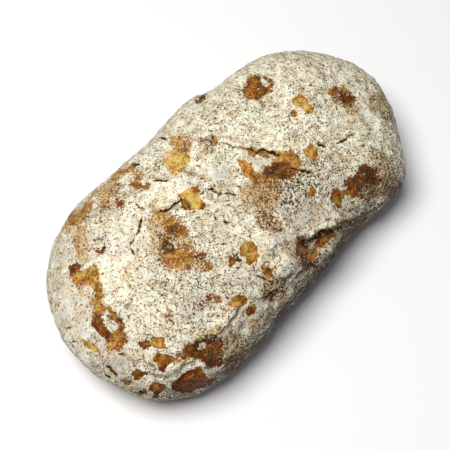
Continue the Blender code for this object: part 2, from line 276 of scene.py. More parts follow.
# Bare patches, where the flour has come away. Each is one outline or more, painted in turn, as (bake at its
# first mark, bake at the mark farthest from it, cover, softness of its rim, marks). Bake runs from 0, pale,
# to 1, charred, and cover from 0, floured, to 1, bare.
BARE_PATCHES = {
    "right back scorch": (
        (0.5, 0.62, 1, 0.42, (14, 96), (9, 98), (8, 103), (11, 108), (13, 113), (18, 115), (23, 113),
         (29, 113), (30, 107), (29, 102), (24, 99), (19, 95)),
        (0.52, 0.55, 0.7, 0.5, (21, 95), (24, 91), (23, 90), (21, 93)),
    ),
    "right golden flake": (
        (0.2, 0.3, 1, 0.08, (44, 95), (47, 97), (50, 100), (52, 97), (55, 94), (55, 92), (59, 88),
         (58, 85), (54, 85), (51, 88), (48, 90), (44, 92)),
        (0.3, 0.45, 0.95, 0.15, (44, 87), (47, 85), (45, 82), (42, 81), (42, 84)),
    ),
    "right scorch": (
        (0.38, 0.6, 0.97, 0.45, (72, 104), (77, 106), (80, 105), (79, 101), (75, 98), (72, 100)),
        (0.36, 0.6, 0.95, 0.45, (83, 107), (86, 104), (87, 100), (81, 99), (80, 105)),
        (0.7, 0.85, 0.97, 0.45, (90, 98), (90, 95), (88, 90), (82, 90), (79, 95), (79, 100), (85, 100)),
        (0.45, 0.55, 0.55, 0.85, (85, 91), (90, 93), (92, 89), (88, 84), (85, 86)),
        (0.45, 0.55, 0.5, 0.85, (74, 97), (78, 97), (78, 92), (74, 93)),
    ),
    "end speckle": (
        (0.72, 0.82, 0.42, 1, (105, 99), (113, 104), (119, 82), (112, 87), (103, 90)),
        (0.72, 0.82, 0.4, 1, (101, 58), (109, 57), (114, 51), (114, 40), (110, 34), (107, 45), (102, 51)),
    ),
    "shoulder flake": (
        (0.2, 0.38, 1, 0.08, (51, 56), (53, 60), (57, 61), (59, 59), (61, 54), (60, 51), (55, 51),
         (52, 53)),
        (0.4, 0.45, 0.55, 0.5, (56, 51), (61, 52), (58, 48), (55, 48)),
    ),
    "tear floor": (
        (0.33, 0.5, 0.95, 0.3, (12, 57), (17, 57), (26, 55), (25, 53), (19, 53), (13, 53)),
    ),
    "crown gold": (
        (0.25, 0.47, 1, 0.4, (32, 55), (37, 57), (41, 56), (44, 54), (47, 51), (49, 48), (46, 43),
         (41, 37), (34, 36), (28, 38), (27, 44), (29, 50)),
        (0.45, 0.58, 0.9, 0.7, (24, 45), (31, 44), (31, 35), (21, 34), (17, 38)),
    ),
    "crown scorch": (
        (0.62, 0.84, 1, 0.45, (41, 44), (39, 38), (34, 36), (28, 37), (23, 39), (23, 43), (28, 46),
         (34, 47), (39, 46)),
    ),
    "crown flake": (
        (0.3, 0.38, 1, 0.08, (5, 49), (9, 50), (13, 46), (16, 42), (18, 37), (13, 37), (10, 38), (8, 40),
         (7, 44)),
        (0.38, 0.5, 0.95, 0.3, (14, 38), (18, 38), (18, 33), (16, 30), (14, 32)),
    ),
    "crown speckle": (
        (0.5, 0.66, 0.52, 1, (21, 36), (25, 37), (30, 36), (33, 31), (33, 27), (30, 23), (26, 24),
         (21, 29)),
        (0.48, 0.6, 0.5, 1, (16, 25), (22, 24), (28, 23), (30, 20), (26, 16), (21, 17), (15, 20)),
        (0.28, 0.38, 0.42, 1, (7, 29), (14, 32), (20, 29), (17, 20), (10, 20)),
    ),
    "torn crumb": (
        (0.08, 0.17, 1, 0.05, (-22, 23), (-20, 20), (-22, 17), (-26, 16), (-29, 18), (-31, 21), (-33, 24),
         (-37, 24), (-37, 26), (-33, 27), (-29, 29), (-24, 27)),
        (0.4, 0.45, 0.95, 0.2, (-27, 30), (-23, 31), (-21, 27), (-25, 26)),
        (0.55, 0.6, 0.95, 0.2, (-21, 19), (-19, 19), (-19, 16), (-21, 16)),
        (0.5, 0.7, 1, 0.1, (-28, 16), (-30, 15), (-33, 16), (-35, 20), (-36, 22), (-33, 23), (-30, 20)),
    ),
    "middle bloom": (
        (0.4, 0.5, 0.38, 1, (-56, 7), (-47, 7), (-43, 0), (-43, -11), (-49, -12), (-55, -3)),
        (0.16, 0.26, 0.75, 0.75, (-54, 13), (-45, 15), (-44, 10), (-47, 6), (-52, 7)),
        (0.3, 0.44, 0.95, 0.75, (-47, 9), (-41, 11), (-36, 7), (-34, 2), (-36, -1), (-43, 0), (-47, 4)),
        (0.52, 0.58, 1, 0.6, (-38, 2), (-32, 3), (-30, 0), (-32, -3), (-37, -5), (-40, -1)),
        (0.18, 0.22, 0.5, 0.7, (-33, -4), (-27, -6), (-28, -10), (-32, -10)),
        (0.48, 0.38, 0.97, 0.85, (-34, -8), (-29, -9), (-25, -14), (-24, -18), (-23, -20), (-26, -22),
         (-31, -23), (-35, -25), (-41, -24), (-46, -20), (-46, -16), (-48, -13), (-43, -10), (-38, -11)),
        (0.7, 0.8, 0.95, 0.75, (-45, 1), (-40, 3), (-38, -2), (-41, -6), (-41, -12), (-46, -14), (-48, -8)),
    ),
    "bloom crumbs": (
        (0.42, 0.62, 0.95, 0.4, (-19, -20), (-14, -22), (-14, -25), (-17, -26), (-19, -23)),
        (0.75, 0.85, 0.75, 0.6, (-27, -16), (-21, -14), (-19, -16), (-19, -20), (-22, -18)),
        (0.35, 0.45, 0.5, 0.7, (-24, -20), (-20, -20), (-19, -24), (-23, -25)),
    ),
    "front flake": (
        (0.22, 0.42, 1, 0.08, (8, -8), (10, -6), (14, -6), (16, -10), (17, -15), (16, -20), (12, -22),
         (10, -20), (10, -16), (7, -16), (6, -12)),
        (0.55, 0.62, 0.9, 0.2, (-1, -17), (0, -16), (3, -19), (2, -22), (-1, -23), (-2, -20)),
        (0.85, 0.9, 0.9, 0.2, (3, -15), (4, -16), (7, -19), (5, -20), (3, -18)),
    ),
    "knuckle flake": (
        (0.42, 0.52, 0.92, 0.3, (21, -25), (22, -22), (25, -25), (29, -24), (28, -28), (25, -31),
         (22, -28)),
    ),
    "front char": (
        (0.78, 0.88, 0.52, 1, (23, -36), (29, -33), (37, -34), (37, -39), (34, -45), (26, -47), (22, -43)),
        (0.8, 0.95, 0.85, 0.8, (31, -44), (26, -46), (24, -44), (29, -41), (34, -39), (35, -41)),
    ),
    "front gold": (
        (0.26, 0.48, 1, 0.08, (-2, -47), (0, -45), (3, -43), (8, -43), (11, -45), (9, -49), (5, -51),
         (1, -49)),
        (0.48, 0.65, 1, 0.12, (14, -49), (16, -51), (15, -55), (12, -57), (10, -55), (11, -51)),
    ),
    "front twins": (
        (0.5, 0.55, 0.8, 0.35, (-16, -41), (-13, -42), (-14, -45), (-16, -44)),
        (0.4, 0.45, 0.75, 0.35, (-12, -43), (-9, -43), (-8, -46), (-11, -46)),
    ),
    "left streak": (
        (0.33, 0.46, 1, 0.5, (-103, -27), (-97, -25), (-91, -23), (-90, -28), (-90, -32), (-88, -36),
         (-85, -41), (-87, -46), (-92, -45), (-95, -36), (-100, -36), (-105, -35), (-109, -32),
         (-110, -28)),
        (0.38, 0.42, 0.5, 0.8, (-103, -35), (-100, -37), (-99, -43), (-103, -41)),
        (0.3, 0.44, 0.92, 0.6, (-94, -45), (-88, -45), (-85, -50), (-86, -55), (-89, -57), (-92, -52),
         (-94, -48)),
        (0.58, 0.7, 1, 0.3, (-104, -27), (-110, -28), (-111, -24), (-106, -21), (-103, -24)),
    ),
    "left scorch": (
        (0.48, 0.58, 0.95, 0.4, (-84, -51), (-81, -51), (-76, -57), (-71, -63), (-73, -65), (-77, -60),
         (-82, -55)),
        (0.32, 0.46, 1, 0.5, (-82, -80), (-83, -77), (-84, -72), (-83, -68), (-79, -67), (-75, -65),
         (-71, -68), (-69, -72), (-71, -74), (-75, -78), (-79, -78)),
        (0.62, 0.78, 1, 0.3, (-92, -56), (-89, -55), (-86, -59), (-84, -63), (-81, -67), (-83, -71),
         (-87, -69), (-91, -65), (-94, -60)),
    ),
    "left end flake": (
        (0.17, 0.27, 0.95, 0.3, (-90, -79), (-93, -80), (-97, -79), (-101, -76), (-101, -73), (-97, -74),
         (-94, -76)),
    ),
    "wedge flake": (
        (0.33, 0.42, 1, 0.08, (-53, -71), (-51, -69), (-45, -70), (-44, -76), (-47, -77), (-51, -76),
         (-54, -74)),
        (0.5, 0.62, 0.95, 0.2, (-55, -72), (-53, -74), (-58, -77), (-61, -75), (-61, -73)),
    ),
    "roll flake": (
        (0.38, 0.6, 1, 0.1, (-49, -80), (-46, -80), (-42, -81), (-39, -84), (-42, -87), (-44, -89),
         (-46, -92), (-48, -92), (-48, -88), (-51, -85), (-52, -83)),
    ),
    "roll spot": (
        (0.5, 0.64, 1, 0.1, (-66, -94), (-63, -91), (-60, -92), (-56, -95), (-60, -97), (-63, -99),
         (-65, -97)),
    ),
    "low spot": (
        (0.55, 0.66, 1, 0.2, (-53, -101), (-49, -101), (-45, -103), (-45, -107), (-48, -109), (-50, -112),
         (-53, -109), (-56, -106), (-55, -104)),
        (0.68, 0.75, 0.9, 0.3, (-65, -110), (-58, -105), (-57, -108), (-62, -112)),
        (0.78, 0.85, 1, 0.2, (-52, -109), (-50, -108), (-49, -112), (-53, -112)),
        (0.6, 0.7, 0.8, 0.4, (-72, -99), (-69, -98), (-68, -102), (-71, -104)),
    ),
    "front scorch": (
        (0.2, 0.26, 0.55, 0.6, (-25, -71), (-18, -67), (-13, -66), (-9, -64), (-7, -67), (-13, -70),
         (-21, -72)),
        (0.42, 0.55, 0.6, 0.9, (-38, -84), (-32, -79), (-28, -82), (-32, -86)),
        (0.52, 0.68, 1, 0.6, (-30, -74), (-24, -72), (-19, -71), (-13, -70), (-9, -70), (-7, -74),
         (-6, -80), (-9, -85), (-19, -86), (-23, -84), (-28, -83), (-33, -83), (-32, -78)),
        (0.85, 0.95, 0.97, 0.5, (-24, -73), (-18, -71), (-10, -71), (-9, -73), (-17, -74), (-21, -77),
         (-25, -80), (-27, -78)),
        (0.72, 0.85, 0.98, 0.3, (-18, -86), (-13, -84), (-7, -85), (-3, -87), (-7, -90), (-13, -91),
         (-17, -90)),
    ),
    "low leaf": (
        (0.5, 0.8, 1, 0.12, (-21, -90), (-19, -94), (-18, -98), (-15, -103), (-20, -107), (-24, -109),
         (-30, -111), (-35, -110), (-40, -106), (-39, -102), (-36, -99), (-32, -95), (-27, -92)),
    ),
    "side scorch": (
        (0.7, 0.8, 0.42, 0.95, (-3, -71), (4, -70), (10, -76), (12, -83), (3, -85), (-5, -81)),
        (0.75, 0.85, 0.75, 0.6, (-7, -86), (0, -85), (9, -83), (11, -85), (6, -90), (-3, -90)),
        (0.65, 0.75, 0.9, 0.5, (-4, -93), (2, -91), (5, -92), (0, -98), (-4, -98)),
        (0.65, 0.75, 0.8, 0.5, (-18, -102), (-12, -100), (-10, -103), (-16, -107)),
    ),
    "right front scorch": (
        (0.6, 0.42, 1, 0.3, (82, 32), (88, 34), (91, 31), (89, 26), (84, 24), (80, 26)),
        (0.42, 0.5, 1, 0.2, (71, 29), (74, 30), (77, 28), (80, 28), (78, 23), (78, 19), (77, 16), (74, 16),
         (71, 21), (70, 25)),
        (0.68, 0.8, 0.98, 0.5, (91, 46), (97, 47), (105, 45), (105, 39), (108, 35), (104, 32), (96, 32),
         (92, 29), (89, 33), (82, 31), (79, 33), (84, 38), (89, 40)),
        (0.98, 0.88, 1, 0.6, (97, 40), (94, 43), (100, 44), (103, 39), (101, 34), (96, 34), (92, 38)),
        (0.75, 0.85, 0.55, 1, (93, 31), (103, 32), (107, 27), (100, 22), (91, 25)),
    ),
    "end edge": (
        (0.7, 0.85, 0.5, 1, (110, 34), (118, 39), (125, 32), (117, 24), (109, 27)),
    ),
    "waist hollow": (
        (0.36, 0.54, 0.9, 0.75, (50, -15), (55, -12), (61, -12), (62, -18), (57, -22), (51, -21)),
        (0.42, 0.56, 1, 0.4, (58, -7), (64, -3), (70, 1), (73, -2), (68, -7), (64, -11), (59, -12)),
        (0.6, 0.72, 0.9, 0.7, (46, -6), (50, -4), (54, -9), (53, -16), (50, -20), (46, -18)),
        (0.8, 0.88, 0.85, 0.7, (47, -18), (52, -22), (60, -21), (60, -25), (53, -26), (47, -22)),
        (0.76, 0.88, 0.85, 0.5, (55, -7), (58, -3), (62, 1), (66, 3), (67, 1), (61, -5)),
        (0.75, 0.85, 0.6, 0.8, (73, 5), (80, 7), (91, 10), (97, 9), (87, 2), (80, -1)),
    ),
    "knuckle stain": (
        (0.6, 0.7, 0.3, 1, (36, -7), (45, -6), (46, -16), (40, -17), (36, -13)),
    ),
    "side stain": (
        (0.45, 0.55, 0.4, 0.9, (14, -60), (18, -59), (19, -65), (14, -65)),
    ),
    "back edge gold": (
        (0.26, 0.36, 0.9, 0.5, (-85, 40), (-81, 44), (-78, 44), (-79, 39), (-81, 36), (-86, 37)),
        (0.3, 0.4, 0.85, 0.5, (-79, 42), (-71, 47), (-67, 49), (-68, 46), (-76, 40)),
        (0.85, 0.9, 1, 0.2, (-69, 48), (-67, 49), (-66, 48), (-68, 46)),
    ),
    "left back flake": (
        (0.3, 0.45, 0.95, 0.35, (-56, 34), (-56, 31), (-60, 29), (-65, 30), (-70, 32), (-70, 35),
         (-65, 34), (-61, 31)),
        (0.42, 0.52, 0.75, 0.7, (-69, 42), (-64, 42), (-63, 37), (-67, 36)),
    ),
    "left back bloom": (
        (0.35, 0.5, 0.95, 0.8, (-99, 22), (-97, 21), (-100, 15), (-103, 10), (-106, 5), (-111, 5),
         (-116, 6), (-114, 11), (-109, 13), (-105, 15)),
        (0.4, 0.5, 0.42, 0.9, (-118, 4), (-111, 5), (-112, 1), (-117, 1)),
        (0.38, 0.45, 0.48, 1, (-96, 28), (-87, 32), (-85, 36), (-80, 33), (-80, 27), (-89, 23)),
    ),
    "left back spot": (
        (0.55, 0.66, 0.85, 0.6, (-81, 21), (-79, 23), (-75, 20), (-75, 16), (-78, 16), (-80, 18)),
        (0.34, 0.44, 0.62, 0.9, (-91, 21), (-86, 23), (-85, 17), (-89, 16)),
    ),
    "scab ring": (
        (0.6, 0.7, 0.75, 0.4, (-93, -12), (-90, -13), (-88, -12), (-87, -8), (-86, -12), (-89, -15),
         (-92, -14)),
        (0.7, 0.8, 0.7, 0.3, (-93, -6), (-90, -5), (-89, -6)),
    ),
    "left edge streak": (
        (0.28, 0.4, 0.45, 1, (-106, 4), (-102, 2), (-100, -9), (-100, -19), (-104, -17), (-107, -11),
         (-108, -2)),
    ),
    "back bloom": (
        (0.22, 0.3, 0.95, 0.5, (-43, 67), (-38, 67), (-36, 63), (-38, 57), (-41, 61)),
        (0.1, 0.22, 0.85, 0.6, (-43, 52), (-45, 56), (-40, 58), (-36, 57), (-30, 54), (-31, 48),
         (-34, 42), (-39, 40), (-42, 43), (-47, 48), (-48, 53)),
        (0.45, 0.52, 0.55, 0.9, (-36, 66), (-29, 64), (-30, 56), (-36, 59)),
    ),
    "back pits": (
        (0.75, 0.85, 0.3, 0.9, (-21, 63), (-14, 60), (-11, 54), (-18, 53), (-22, 58)),
        (0.3, 0.4, 0.75, 0.5, (-14, 67), (-12, 67), (-10, 62), (-12, 61)),
        (0.7, 0.8, 0.45, 0.6, (-22, 64), (-18, 66), (-14, 65), (-15, 62), (-18, 64)),
    ),
    "back nick rim": (
        (0.5, 0.6, 0.9, 0.3, (-24, 100), (-19, 102), (-19, 99), (-23, 98)),
        (0.85, 0.9, 1, 0.2, (-26, 97), (-22, 98), (-19, 100), (-19, 97), (-23, 95), (-26, 95)),
    ),
    "bridge pits": (
        (0.65, 0.8, 0.58, 0.9, (17, 13), (21, 13), (26, 11), (32, 6), (33, 2), (27, 1), (22, 3), (18, 8)),
    ),
    "bridge spot": (
        (0.36, 0.44, 0.95, 0.15, (54, 29), (57, 31), (59, 27), (56, 25), (54, 26)),
    ),
    "pink streak": (
        (0.42, 0.5, 0.2, 1, (-13, 4), (-9, 4), (-9, -8), (-13, -8)),
    ),
    "low crumb": (
        (0.5, 0.55, 0.6, 0.6, (-42, -52), (-40, -56), (-41, -59), (-43, -56)),
    ),
}

# Islands of flour left standing in the patches.
FLOUR_ISLANDS = {
    "notch": ((22, 112), (27, 111), (28, 108), (24, 105), (22, 108)),
    "streak island": ((-100, -38), (-95, -36), (-92, -40), (-92, -44), (-98, -46), (-101, -42)),
    "white wedge": ((-83, -58), (-80, -59), (-74, -64), (-80, -67), (-83, -65)),
    "bloom island": ((-40, -6), (-36, -8), (-35, -12), (-38, -12)),
    "scorch island": ((93, 42), (95, 42), (95, 40), (93, 39)),
    "arc island": ((-22, -74), (-17, -74), (-18, -78), (-22, -78)),
    "bright tip": ((-13, -80), (-11, -80), (-11, -82)),
    "waist crumb": ((56, -5), (58, -5), (59, -7), (57, -7)),
}
FLOURED = -1.5  # bareness of crust under whole flour
MIDDLE_BAKE = 0.45  # of the crust between the patches
COVER_SCALE = 2.1  # bareness gained from no cover to full cover
PATCH_SPREAD = 0.5  # mm by which a patch reaches past its outline, and as much again where its rim is soft
HARD_RIM = 1.3  # mm over which a crisp patch turns from bare to floured
SOFT_RIM = 3.4  # mm more where it is soft
PAINT_REACH = 1.6  # mm by which a patch's bake and softness reach past it, and as much again where it is soft
HARD_PAINT = 2.2  # mm over which they set in
SOFT_PAINT = 2.4  # mm more where it is soft
ISLAND_RIM = 1.5
FACING = (-0.30, -0.12)  # the crust's slope to the board, from not marked by it to marked
STRAY_PATCH = 21  # mm across, of the patches on the sides that the board doesn't see
STRAY_SHIFT = (3, 8, 1)
STRAY_RARITY = 0.34  # noise over which such a patch is bare
STRAY_EDGE = 3.2  # bareness gained for each unit of noise over that
STRAY_COVER = 0.6  # the most that such a patch is bare
STRAY_BAKE = 0.42
STRAY_SOFTNESS = 0.75


def depth_inside(outline, marks):
    """How far inside a closed outline each mark lies, in millimetres; outside is negative."""
    corners = np.array(outline, dtype=float)
    nearest = np.full(len(marks), np.inf)
    inside = np.zeros(len(marks), dtype=bool)
    for start, end in zip(corners, np.roll(corners, -1, axis=0)):
        stride = end - start
        from_start = marks - start
        share = np.clip(from_start @ stride / (stride @ stride), 0, 1)
        nearest = np.minimum(nearest, np.linalg.norm(from_start - share[:, None] * stride, axis=1))
        spans = (start[1] > marks[:, 1]) != (end[1] > marks[:, 1])
        left_of = (from_start[:, 0] * stride[1] < from_start[:, 1] * stride[0]) == (stride[1] > 0)
        inside ^= spans & left_of
    return np.where(inside, nearest, -nearest)


def bareness(points, normals):
    """How bare, above 0, or floured, below 0, how baked and how softly rimmed the crust is at each point."""
    marks = points @ BOARD
    bare = np.full(len(points), FLOURED)
    bake = np.full(len(points), MIDDLE_BAKE)
    soft = np.full(len(points), 0.5)
    for patch in BARE_PATCHES.values():
        for first_bake, last_bake, cover, softness, *outline in patch:
            depth = depth_inside(outline, marks) + PATCH_SPREAD * (1 + softness)
            full = COVER_SCALE * (cover - 0.5)
            value = np.minimum(full, depth / (HARD_RIM + SOFT_RIM * softness) + min(full, 0))
            bare = np.maximum(bare, value)
            from_first = np.linalg.norm(marks - np.array(outline[0]), axis=1)
            span = max(np.hypot(mark[0] - outline[0][0], mark[1] - outline[0][1]) for mark in outline)
            own_bake = first_bake + (last_bake - first_bake) * np.clip(from_first / span, 0, 1)
            reached = depth + PAINT_REACH + PAINT_REACH * softness
            painted = ease(reached / (HARD_PAINT + SOFT_PAINT * softness))
            bake += painted * (own_bake - bake)
            soft += painted * (softness - soft)
    for outline in FLOUR_ISLANDS.values():
        bare = np.minimum(bare, np.maximum(-depth_inside(outline, marks) / ISLAND_RIM, FLOURED))
    stray = np.array([noise.noise(Vector(point) / STRAY_PATCH + Vector(STRAY_SHIFT)) for point in points])
    marked = ease((normals @ np.array(SIGHT) - FACING[0]) / (FACING[1] - FACING[0]))
    bare = np.where(marked > 0.5, bare, np.clip(STRAY_EDGE * (stray - STRAY_RARITY), FLOURED, STRAY_COVER))
    bake += (1 - marked) * (STRAY_BAKE + 0.5 * stray - bake)
    soft += (1 - marked) * (STRAY_SOFTNESS - soft)
    return bare, bake, soft


# The skin is made finer where a tear or the rim of a patch needs it, and then shaped.
FINE_BANDS = ((2.8, 0.4), (1.4, 0))  # (mm from a tear, bareness within which a rim lies), for each round
CRISP = 0.36  # softness under which a rim is crisp enough to need it
RAGGED_RIM = ((6, 1.1, 1), (2.4, 0.6, 2))  # (size and reach in mm, seed)
RAGGED_TEAR = ((5, 1.1, 8), (1.8, 0.8, 9))
CRUST_LUMPS = ((1.1, 14, 3), (0.9, 6.5, 4), (0.5, 3.4, 5))  # (rise and size in mm, seed)
TEAR_LUMPS = ((0.6, 6, 10), (0.5, 2.4, 13))  # (strength, size in mm, seed)
LINE_BREAKS = (1.3, 3.2, 19)
BLISTERS = (9, 6)  # (size in mm, seed)
BLISTER_RISE = 1.2
BLISTER_RARITY = 0.25
FLOUR_DEPTH = 0.45  # mm by which the bare crust lies under the flour
BARE_LUMPS = (0.6, 2.6, 7)

skin = bmesh.new()
skin.from_mesh(proved)
bmesh.ops.triangulate(skin, faces=skin.faces[:])
for tear_band, rim_band in FINE_BANDS:
    skin.verts.index_update()
    skin.normal_update()
    points = np.array([vertex.co for vertex in skin.verts])
    normals = np.array([vertex.normal for vertex in skin.verts])
    nearest = np.full(len(points), np.inf)
    for path in TEAR_PATHS.values():
        nearest = np.minimum(nearest, np.linalg.norm(follow(path, points, normals)[0], axis=1))
    fine = nearest < tear_band
    if rim_band:
        bare, bake, soft = bareness(points, normals)
        fine |= (np.abs(bare) < rim_band) & (soft < CRISP)
    chosen = [edge for edge in skin.edges if fine[edge.verts[0].index] or fine[edge.verts[1].index]]
    bmesh.ops.subdivide_edges(skin, edges=chosen, cuts=1, use_grid_fill=True)
    bmesh.ops.triangulate(skin, faces=skin.faces[:])
crust_mesh = bpy.data.meshes.new("crust")
skin.to_mesh(crust_mesh)
skin.free()
bpy.data.meshes.remove(proved)
relax(crust_mesh, RELAX_PASSES)

points = read_points(crust_mesh)
normals = read_points(crust_mesh, "normal")
standing = ease(points[:, 2] / FOOT_FADE)
bare, bake, soft = bareness(wander(points, *RAGGED_RIM), normals)

rise = cloudy(points, 0, *CRUST_LUMPS)
rise += BLISTER_RISE * np.clip(lumps(points, *BLISTERS) - BLISTER_RARITY, 0, 1)
rise -= FLOUR_DEPTH * ease(0.5 + bare) * cloudy(points, 1, BARE_LUMPS)
for mark, reach, height in KNUCKLES.values():
    rise += height * np.exp(-((np.linalg.norm(points - on_crust(mark), axis=1) / reach) ** 2))

crevice = np.zeros(len(points))
lifting = np.zeros(len(points))
slide = np.zeros_like(points)
torn = wander(points, *RAGGED_TEAR)
unevenness = cloudy(points, 0.95, *TEAR_LUMPS)
broken = ease(cloudy(points, 0.85, LINE_BREAKS))
for name, (lip, sink, reach, slot, slot_width, *_) in TEARS.items():
    offset, side, run, length = follow(TEAR_PATHS[name], torn, normals)
    gap = np.linalg.norm(offset, axis=1)
    near = gap < TEAR_REACH * reach
    taper = min(TEAR_TAPER, SHORT_TAPER * length)
    opening = ease(run / taper + END_GAPE) * ease((length - run) / taper + END_GAPE) * near * unevenness
    lifted = side > 0
    lifted_share = ease(0.5 + 0.5 * side * gap / (STEP_WIDTH if slot > TORN_SLOT else SOFT_STEP))
    rise += opening * lifted_share * lip * np.exp(-gap / reach)
    rise -= opening * (1 - lifted_share) * sink * np.exp(-((gap / reach) ** 2))
    width = slot_width * np.where(lifted, *SLOT_SIDES)
    rise -= SLOT_DEPTH * opening * slot * np.exp(-((gap / width) ** 2))
    line_width = max(CRUMB_LINE[0] * slot_width, CRUMB_LINE[1])
    line = LINE_SHADE * broken * np.exp(-((gap / line_width) ** 2))
    margin_width = CRUMB_MARGIN[0] + CRUMB_MARGIN[1] * slot_width
    margin = MARGIN_SHADE * np.exp(-((gap / margin_width) ** 2))
    crevice = np.maximum(crevice, min(slot, 1) * opening * (margin + line))
    lifting = np.maximum(lifting, np.where(lifted, opening * lip * np.exp(-gap / LIP_DUSTING), 0))
    overhang = UNDERCUT * ease(slot - UNDERCUT_SLOT) * opening * np.exp(-((gap / UNDERCUT_REACH) ** 2))
    push = np.where(lifted & near, overhang, 0)
    slide -= push[:, None] * offset / (gap[:, None] + 0.2)

points += slide * standing[:, None] + normals * (rise * standing)[:, None]
points[:, 2] = np.maximum(points[:, 2], 0)
crust_mesh.vertices.foreach_set("co", (points * MM).ravel())
crust_mesh.update()
crust_mesh.shade_smooth()

# How the flour lies round a mark, and painted shade at the marks noted below: (mark, reach in mm, how much
# thinner, darker with specks, and tanner).
FLOUR_DRIFTS = {
    "left crown": ((-77, -2), 22, 0.12, -0.3, 0),
    "left drift": ((-77, -31), 16, -0.3, -0.55, 0),
    "middle drift": ((-49, 27), 13, -0.45, -0.5, 0),
    "bridge drift": ((-11, 51), 14, -0.1, 0.1, 0),
    "crown lip": ((30, 63), 9, -0.35, -0.45, 0.1),
    "cream patch": ((-47, -53), 11, -0.3, -0.2, 0.1),
    "front drift": ((-9, -58), 12, -0.3, -0.3, 0),
    "low cream": ((20, -6), 10, -0.2, -0.3, 0),
    "upper lobe": ((26, 85), 38, -0.5, -0.05, -0.2),
    "lobe pepper": ((3, 91), 16, 0.1, 0.25, 0.15),
    "right pepper": ((56, 72), 22, -0.25, 0.2, 0),
    "right rub": ((64, 102), 24, 0, 0.15, 0),
    "middle pepper": ((-31, -39), 26, 0, 0.4, 0),
    "low pepper": ((-18, -35), 14, 0.1, 0.3, 0),
    "saddle pepper": ((44, 30), 18, 0, 1.0, 0),
    "shoulder pepper": ((66, 44), 16, 0, 0.5, 0),
    "middle right pepper": ((-5, -6), 16, -0.1, 0.2, 0),
    "right end grey": ((102, 73), 20, -0.6, -0.2, -0.1),
    "right end rub": ((117, 59), 18, -0.2, 0.6, 0.05),
    "right low rub": ((100, 19), 22, -0.7, 0.6, 0),
    "low right rub": ((71, -21), 30, -0.1, 0.9, -0.1),
    "back blush": ((-14, 94), 20, 0, 0, 0.3),
    "top edge blush": ((38, 132), 16, 0.1, 0, 0.4),
    "left back blush": ((-65, 45), 20, -0.35, 0.1, 0.05),
    "left blush": ((-95, 18), 26, -0.05, 0.35, 0.3),
    "left side blush": ((-112, -9), 22, 0.3, -0.2, 0.3),
    "left grey": ((-113, -46), 22, 0.3, -0.5, -0.05),
    "left low grey": ((-106, -66), 18, 0.1, -0.4, -0.1),
    "roll grey": ((-78, -87), 14, 0.35, -0.4, -0.2),
    "lilac": ((-6, 39), 7, 0.5, -0.5, 0),
    "lilac crown": ((21, 49), 7, 0.65, -0.4, 0),
    "lilac flap": ((-30, 32), 7, 0.4, -0.4, -0.1),
    # Painted shade, as thinner grey flour: along the front crease, the knuckle crease, in the saddle hollow
    # and on the pocket roll.
    "crease shade": ((15, -50), 9, 0.5, -0.2, -0.2),
    "knuckle shade": ((33, -10), 8, 0.45, -0.3, -0.2),
    "saddle shade": ((54, 10), 10, 0.75, -0.2, -0.2),
    "pocket roll shade": ((78, -3), 8, 1.1, -0.4, -0.3),
    "low pocket roll shade": ((70, -16), 8, 1.1, -0.4, -0.3),
    "end stain": ((112, 92), 13, 0.1, 0.4, 0.45),
    "end stain low": ((109, 46), 12, 0.1, 0.4, 0.45),
    "crown stain": ((25, 30), 9, 0.3, 0.2, 0.75),
    "crown stain low": ((18, 21), 7, 0.1, 0.2, 0.5),
    "front grey": ((12, -63), 20, 0.2, 0.2, -0.1),
    "grey middle": ((-28, -61), 14, 0.2, 0.2, -0.1),
    "bottom grey": ((-35, -111), 18, -0.1, 1.4, 0),
    "bottom left grey": ((-82, -94), 16, 0.2, 0.3, -0.1),
}
# How far the skin faces up where a slope begins to count, and how much less where it counts in full.
SIDE_SLOPE = (0.85, 0.7)
STEEP_SLOPE = (0.3, 0.4)
SHADE_SLOPE = (0.4, 0.36)
LOW_BAND = (27, 20)  # mm over the oven floor where the low band begins, and over which it sets in
WORN_BAKE = 0.7  # of the crust that the oven floor has rubbed bare

thin = cloudy(points, 0.36, (0.20, 16, 11), (0.14, 6, 12))
pepper = cloudy(points, 0.15, (0.28, 12, 14), (0.2, 5, 15))
blush = cloudy(points, 0, (0.1, 18, 16), (0.12, 7, 17))
for mark, reach, thinner, darker, tanner in FLOUR_DRIFTS.values():
    share = np.exp(-((np.linalg.norm(points - on_crust(mark), axis=1) / reach) ** 2))
    thin += thinner * share
    pepper += darker * share
    blush += tanner * share

slope = read_points(crust_mesh, "normal")[:, 2]
sloping = ease((SIDE_SLOPE[0] - slope) / SIDE_SLOPE[1])
steep = ease((STEEP_SLOPE[0] - slope) / STEEP_SLOPE[1])
low = ease((LOW_BAND[0] - points[:, 2]) / LOW_BAND[1])
lip_flour = np.clip(lifting, 0, 1)
thin += 0.15 * sloping + 0.3 * low - 0.35 * lip_flour
worn = cloudy(points, 0.95 * low - 0.8, (0.5, 8, 18))
bake = np.where(worn > bare, WORN_BAKE, bake)
soft = np.where(worn > bare, 1, soft)
bare = np.maximum(bare, worn)

# Painted shade on the flank turned away from the lamp: dark brown-grey under a fine dust of paler specks,
# fading near its foot.
SHADE_TURN = (1.5, 0.25)  # how fast the painted shade sets in where the loaf turns away from the lamp, and how late
SHADE_FOOT_FADE = (22, 16)  # mm over the oven floor below which the painted shade fades, and over which it fades in
SHADE_FOOT_FADE_SHARE = 0.7

outward = np.sqrt(1.02 - normals[:, 2] ** 2)
lamp_shaded_side = ease(SHADE_TURN[0] * (normals @ np.array(RIGHTWARD)) / outward - SHADE_TURN[1])
# More dark specks on sloping, steep and low skin, five times as many on the side turned from the lamp as
# painted shade, and fewer along lips.
pepper += (0.1 + 0.4 * lamp_shaded_side) * (sloping + steep + low) - 0.3 * lip_flour
flank_shade = lamp_shaded_side * ease((SHADE_SLOPE[0] - slope) / SHADE_SLOPE[1])
flank_shade *= 1 - SHADE_FOOT_FADE_SHARE * ease((SHADE_FOOT_FADE[0] - points[:, 2]) / SHADE_FOOT_FADE[1])

